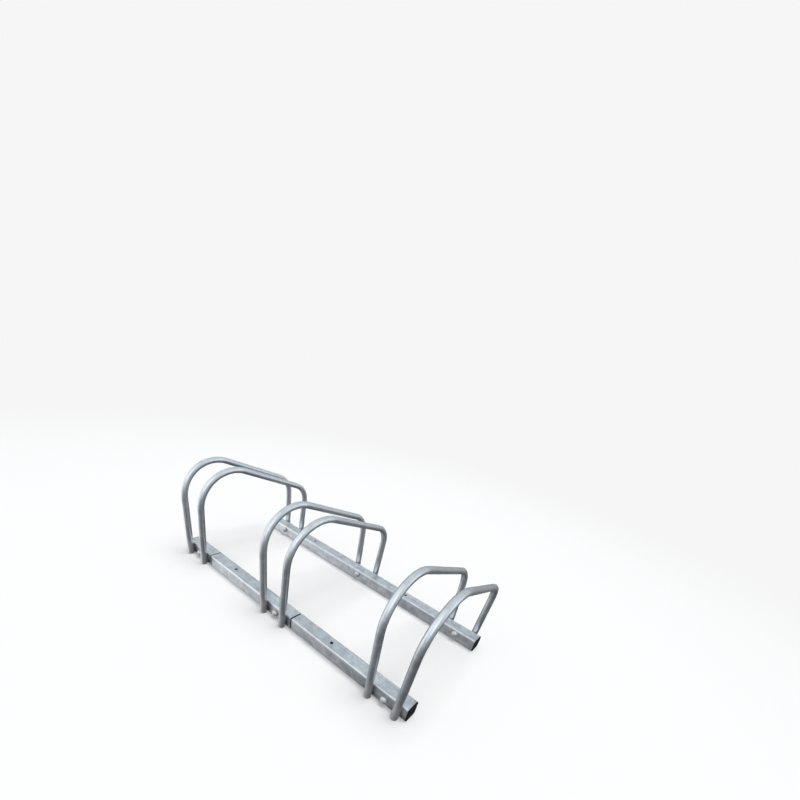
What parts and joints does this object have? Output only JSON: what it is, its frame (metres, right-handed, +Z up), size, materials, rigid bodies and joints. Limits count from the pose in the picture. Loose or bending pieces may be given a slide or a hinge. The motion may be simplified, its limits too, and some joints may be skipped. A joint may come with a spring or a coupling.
{
  "type": "bike rack stand",
  "caption": "Floor rack of zinc plated steel: pairs of bent tube hoops on two square tube rails, each pair holding a bicycle wheel upright between them.",
  "frame": {"origin": "on the floor, in the middle of the rack's length and depth", "axes": "+X along the rails, +Y from the tall side of the hoops to their low side, where a wheel rolls in, +Z up"},
  "size_m": [0.7336, 0.3346, 0.2437],
  "materials": {
    "hoop_tube": "zinc plated, drawn tube, satin",
    "rail_tube": "zinc plated square tube, pale blue grey, satin",
    "sleeve_tube": "zinc plated, dull",
    "end_plug": "black moulded plastic, fine texture",
    "bolt_zinc": "bright zinc",
    "nut_zinc": "bright zinc",
    "washer_zinc": "bright zinc"
  },
  "bodies": {
    "root": {"hoop_1_left": "hoop_tube", "hoop_1_right": "hoop_tube", "hoop_2_left": "hoop_tube", "hoop_2_right": "hoop_tube", "hoop_3_left": "hoop_tube", "hoop_3_right": "hoop_tube", "front_rail_1": "rail_tube", "front_rail_2": "rail_tube", "front_rail_3": "rail_tube", "rear_rail_1": "rail_tube", "rear_rail_2": "rail_tube", "rear_rail_3": "rail_tube", "front_sleeve_1": "sleeve_tube", "front_sleeve_2": "sleeve_tube", "rear_sleeve_1": "sleeve_tube", "rear_sleeve_2": "sleeve_tube", "front_plug_left": "end_plug", "front_plug_right": "end_plug", "rear_plug_left": "end_plug", "rear_plug_right": "end_plug", "front_bolt_1": "bolt_zinc", "front_bolt_2": "bolt_zinc", "front_bolt_3": "bolt_zinc", "rear_bolt_1": "bolt_zinc", "rear_bolt_2": "bolt_zinc", "rear_bolt_3": "bolt_zinc", "front_washer_1": "washer_zinc", "front_washer_2": "washer_zinc", "front_washer_3": "washer_zinc", "rear_washer_1": "washer_zinc", "rear_washer_2": "washer_zinc", "rear_washer_3": "washer_zinc", "front_nut_1": "nut_zinc", "front_nut_2": "nut_zinc", "front_nut_3": "nut_zinc", "rear_nut_1": "nut_zinc", "rear_nut_2": "nut_zinc", "rear_nut_3": "nut_zinc"}
  },
  "joints": []
}
